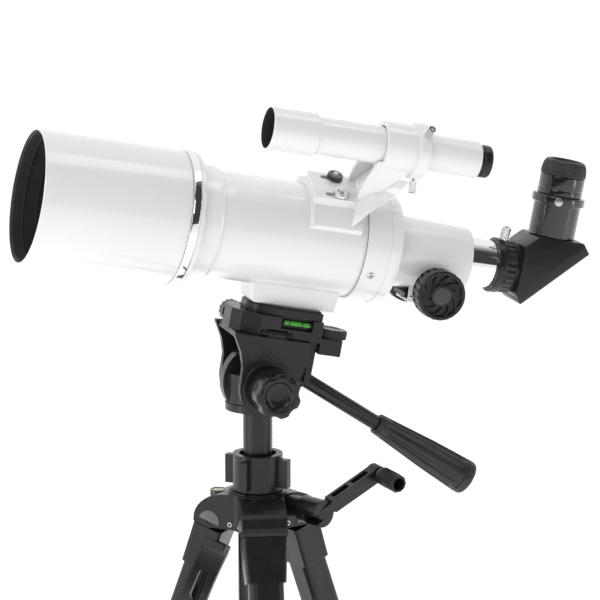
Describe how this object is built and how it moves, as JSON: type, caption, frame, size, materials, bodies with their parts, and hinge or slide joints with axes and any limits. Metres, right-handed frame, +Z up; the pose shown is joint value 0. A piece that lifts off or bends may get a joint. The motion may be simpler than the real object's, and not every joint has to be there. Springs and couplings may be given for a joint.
{
  "type": "refractor telescope",
  "caption": "Short refractor telescope with a star diagonal and a finder, on a pan and tilt head and a folding tripod with a geared column.",
  "frame": {"origin": "floor point under the centre column", "axes": "+Z up, the tube points towards -X, the near side with the tilt knob is -Y"},
  "size_m": [0.4452, 0.3234, 0.7314],
  "materials": {
    "white_enamel": "gloss white enamel",
    "chrome": "polished",
    "bright_steel": "bright",
    "lens_glass": "coated glass",
    "mirror": "polished",
    "black_plastic": "semi-matt",
    "gloss_black": "gloss",
    "rubber": "matt",
    "vial": "clear green",
    "head_plastic": "satin moulded",
    "black_anodised": "satin black anodised",
    "lower_tube": "satin black anodised"
  },
  "bodies": {
    "tripod": {"tripod_shoulder": "head_plastic"},
    "collar": {"column_collar": "head_plastic"},
    "column": {"centre_column": "black_anodised", "pan_base": "head_plastic"},
    "crank": {"crank_hub": "head_plastic"},
    "crank_arm": {"crank_arm": "head_plastic"},
    "crank_knob": {"crank_knob": "head_plastic"},
    "strut_hub": {"strut_hub": "head_plastic"},
    "pan_head": {"pan_barrel": "head_plastic"},
    "yoke": {"tilt_yoke": "head_plastic"},
    "tilt_knob": {"tilt_knob": "head_plastic"},
    "handle": {"pan_handle_rod": "black_anodised", "pan_handle_grip": "rubber"},
    "platform": {"head_platform": "head_plastic", "level_vial": "vial"},
    "flip_knob": {"flip_knob": "head_plastic"},
    "plate_wheel": {"plate_wheel": "head_plastic"},
    "scope": {"quick_release_plate": "head_plastic", "camera_screw": "bright_steel", "mounting_foot": "white_enamel", "main_tube": "white_enamel", "objective_cell": "white_enamel", "objective_lenses": "lens_glass", "trim_ring": "chrome", "focuser_housing": "white_enamel", "pinion_bracket": "black_plastic", "bracket_nuts": "bright_steel"},
    "dew_shield": {"dew_shield": "white_enamel"},
    "focus_knobs": {"focus_shaft": "bright_steel", "focus_knobs": "black_plastic"},
    "drawtube": {"drawtube": "chrome", "drawtube_collar": "black_plastic"},
    "drawtube_screw": {"drawtube_thumbscrew": "bright_steel"},
    "diagonal": {"diagonal_housing": "black_plastic", "diagonal_mirror": "mirror", "eyepiece_holder": "gloss_black"},
    "eyepiece_screw": {"eyepiece_set_screw": "bright_steel"},
    "eyepiece": {"eyepiece_body": "gloss_black", "eyecup": "rubber", "eyepiece_lenses": "lens_glass"},
    "finder": {"finder_bracket": "white_enamel", "finder_tube": "white_enamel", "finder_lenses": "lens_glass", "finder_screws": "bright_steel"},
    "finder_eyepiece": {"finder_eyepiece": "black_plastic"},
    "leg_1": {"leg_1_upper": "black_anodised", "leg_1_fittings": "head_plastic"},
    "leg_1_lower": {"leg_1_lower": "lower_tube"},
    "leg_1_lever": {"leg_1_lever": "head_plastic"},
    "leg_1_strut": {"leg_1_strut": "black_anodised"},
    "leg_2": {"leg_2_upper": "black_anodised", "leg_2_fittings": "head_plastic"},
    "leg_2_lower": {"leg_2_lower": "lower_tube"},
    "leg_2_lever": {"leg_2_lever": "head_plastic"},
    "leg_2_strut": {"leg_2_strut": "black_anodised"},
    "leg_3": {"leg_3_upper": "black_anodised", "leg_3_fittings": "head_plastic"},
    "leg_3_lower": {"leg_3_lower": "lower_tube"},
    "leg_3_lever": {"leg_3_lever": "head_plastic"},
    "leg_3_strut": {"leg_3_strut": "black_anodised"}
  },
  "joints": [
    {"name": "collar_turn", "type": "hinge", "parent": "tripod", "child": "collar", "pos_m": [0, 0, 0.46211], "axis": [0, 0, 1], "range_deg": [-60, 60]},
    {"name": "column_lift", "type": "slide", "parent": "tripod", "child": "column", "axis": [0, 0, 1], "range_m": [-0.03, 0.1]},
    {"name": "crank_turn", "type": "hinge", "parent": "tripod", "child": "crank", "pos_m": [0.01469, 0.00748, 0.42161], "axis": [0.454, -0.891, 0], "range_deg": [-1252, 377]},
    {"name": "crank_arm_fold", "type": "hinge", "parent": "crank", "child": "crank_arm", "pos_m": [0.03739, -0.03707, 0.42161], "axis": [0.4045, 0.2061, -0.891], "range_deg": [0, 78]},
    {"name": "crank_knob_spin", "type": "hinge", "parent": "crank_arm", "child": "crank_knob", "pos_m": [0.08616, -0.02528, 0.44647], "axis": [0.279, -0.9556, -0.0944], "continuous": true},
    {"name": "leg_1_fold", "type": "hinge", "parent": "tripod", "child": "leg_1", "pos_m": [-0.00505, -0.03261, 0.40971], "axis": [0.9882, -0.153, 0], "range_deg": [0, 18.5]},
    {"name": "leg_1_extend", "type": "slide", "parent": "leg_1", "child": "leg_1_lower", "axis": [-0.0523, -0.338, -0.9397], "range_m": [0, 0.24]},
    {"name": "leg_1_lever_open", "type": "hinge", "parent": "leg_1", "child": "leg_1_lever", "pos_m": [-0.02738, -0.17684, 0.05844], "axis": [0.9882, -0.153, 0], "range_deg": [0, 100]},
    {"name": "leg_1_strut_swing", "type": "hinge", "parent": "leg_1", "child": "leg_1_strut", "pos_m": [-0.01321, -0.08535, 0.21629], "axis": [0.9882, -0.153, 0], "range_deg": [0, 11.3]},
    {"name": "leg_2_fold", "type": "hinge", "parent": "tripod", "child": "leg_2", "pos_m": [0.03077, 0.01193, 0.40971], "axis": [-0.3616, 0.9323, 0], "range_deg": [0, 18.5]},
    {"name": "leg_2_extend", "type": "slide", "parent": "leg_2", "child": "leg_2_lower", "axis": [0.3189, 0.1237, -0.9397], "range_m": [0, 0.24]},
    {"name": "leg_2_lever_open", "type": "hinge", "parent": "leg_2", "child": "leg_2_lever", "pos_m": [0.16683, 0.06471, 0.05844], "axis": [-0.3616, 0.9323, 0], "range_deg": [0, 100]},
    {"name": "leg_2_strut_swing", "type": "hinge", "parent": "leg_2", "child": "leg_2_strut", "pos_m": [0.08052, 0.03123, 0.21629], "axis": [-0.3616, 0.9323, 0], "range_deg": [0, 11.3]},
    {"name": "leg_3_fold", "type": "hinge", "parent": "tripod", "child": "leg_3", "pos_m": [-0.02572, 0.02068, 0.40971], "axis": [-0.6266, -0.7793, 0], "range_deg": [0, 18.5]},
    {"name": "leg_3_extend", "type": "slide", "parent": "leg_3", "child": "leg_3_lower", "axis": [-0.2665, 0.2143, -0.9397], "range_m": [0, 0.24]},
    {"name": "leg_3_lever_open", "type": "hinge", "parent": "leg_3", "child": "leg_3_lever", "pos_m": [-0.13946, 0.11213, 0.05844], "axis": [-0.6266, -0.7793, 0], "range_deg": [0, 100]},
    {"name": "leg_3_strut_swing", "type": "hinge", "parent": "leg_3", "child": "leg_3_strut", "pos_m": [-0.06731, 0.05412, 0.21629], "axis": [-0.6266, -0.7793, 0], "range_deg": [0, 11.3]},
    {"name": "strut_hub_slide", "type": "slide", "parent": "tripod", "child": "strut_hub", "axis": [0, 0, 1], "range_m": [0, 0.0115]},
    {"name": "pan", "type": "hinge", "parent": "column", "child": "pan_head", "pos_m": [0, 0, 0.51811], "axis": [0, 0, 1], "continuous": true},
    {"name": "tilt", "type": "hinge", "parent": "pan_head", "child": "yoke", "pos_m": [0, 0, 0.51811], "axis": [0, 1, 0], "range_deg": [-60, 12]},
    {"name": "tilt_knob_turn", "type": "hinge", "parent": "yoke", "child": "tilt_knob", "pos_m": [0, 0, 0.51811], "axis": [0, -1, 0], "range_deg": [-90, 90]},
    {"name": "handle_twist", "type": "hinge", "parent": "yoke", "child": "handle", "pos_m": [0.03499, 0, 0.51782], "axis": [0.8329, 0, -0.5534], "range_deg": [-180, 180]},
    {"name": "portrait_flip", "type": "hinge", "parent": "yoke", "child": "platform", "pos_m": [0.00773, -0.026, 0.55786], "axis": [0.9816, 0, -0.1908], "range_deg": [0, 90]},
    {"name": "flip_knob_turn", "type": "hinge", "parent": "platform", "child": "flip_knob", "pos_m": [-0.01026, 0.03, 0.56492], "axis": [0, 1, 0], "range_deg": [-90, 90]},
    {"name": "plate_wheel_turn", "type": "hinge", "parent": "platform", "child": "plate_wheel", "pos_m": [0.05333, -0.016, 0.55664], "axis": [0.1908, 0, 0.9816], "range_deg": [-90, 90]},
    {"name": "plate_lift", "type": "slide", "parent": "platform", "child": "scope", "axis": [0.1908, 0, 0.9816], "range_m": [0, 0.03]},
    {"name": "dew_shield_pull", "type": "slide", "parent": "scope", "child": "dew_shield", "axis": [-0.9816, 0, 0.1908], "range_m": [0, 0.03]},
    {"name": "focus_slide", "type": "slide", "parent": "scope", "child": "drawtube", "axis": [0.9816, 0, -0.1908], "range_m": [-0.018, 0.045]},
    {"name": "focus_knob_turn", "type": "hinge", "parent": "scope", "child": "focus_knobs", "pos_m": [0.13095, 0, 0.58383], "axis": [0, 1, 0], "range_deg": [-271, 676]},
    {"name": "drawtube_screw_turn", "type": "hinge", "parent": "drawtube", "child": "drawtube_screw", "pos_m": [0.19466, -0.0052, 0.62019], "axis": [0.1866, -0.2079, 0.9602], "range_deg": [-90, 90]},
    {"name": "diagonal_turn", "type": "hinge", "parent": "drawtube", "child": "diagonal", "pos_m": [0.22867, 0, 0.58867], "axis": [0.9816, 0, -0.1908], "range_deg": [-45, 45]},
    {"name": "eyepiece_screw_turn", "type": "hinge", "parent": "diagonal", "child": "eyepiece_screw", "pos_m": [0.23286, -0.01879, 0.64612], "axis": [-0.3357, -0.9397, 0.0653], "range_deg": [-90, 90]},
    {"name": "eyepiece_slide", "type": "slide", "parent": "diagonal", "child": "eyepiece", "axis": [0.1908, 0, 0.9816], "range_m": [0, 0.03]},
    {"name": "finder_bracket_slide", "type": "slide", "parent": "scope", "child": "finder", "axis": [0.9816, 0, -0.1908], "range_m": [-0.0015, 0.0055]},
    {"name": "finder_focus_turn", "type": "hinge", "parent": "finder", "child": "finder_eyepiece", "pos_m": [0.15473, -0.03761, 0.68521], "axis": [0.9816, 0, -0.1908], "range_deg": [-170, 170]}
  ],
  "couplings": [
    {"joint": "crank_turn", "follows": "column_lift", "rad_per_m": -218.17},
    {"joint": "leg_1_strut_swing", "follows": "leg_1_fold", "ratio": 0.60603},
    {"joint": "leg_2_fold", "follows": "leg_1_fold", "ratio": 1},
    {"joint": "leg_2_strut_swing", "follows": "leg_1_fold", "ratio": 0.60603},
    {"joint": "leg_3_fold", "follows": "leg_1_fold", "ratio": 1},
    {"joint": "leg_3_strut_swing", "follows": "leg_1_fold", "ratio": 0.60603},
    {"joint": "strut_hub_slide", "follows": "leg_1_fold", "m_per_rad": 0.034871},
    {"joint": "focus_knob_turn", "follows": "focus_slide", "rad_per_m": 261.78}
  ]
}
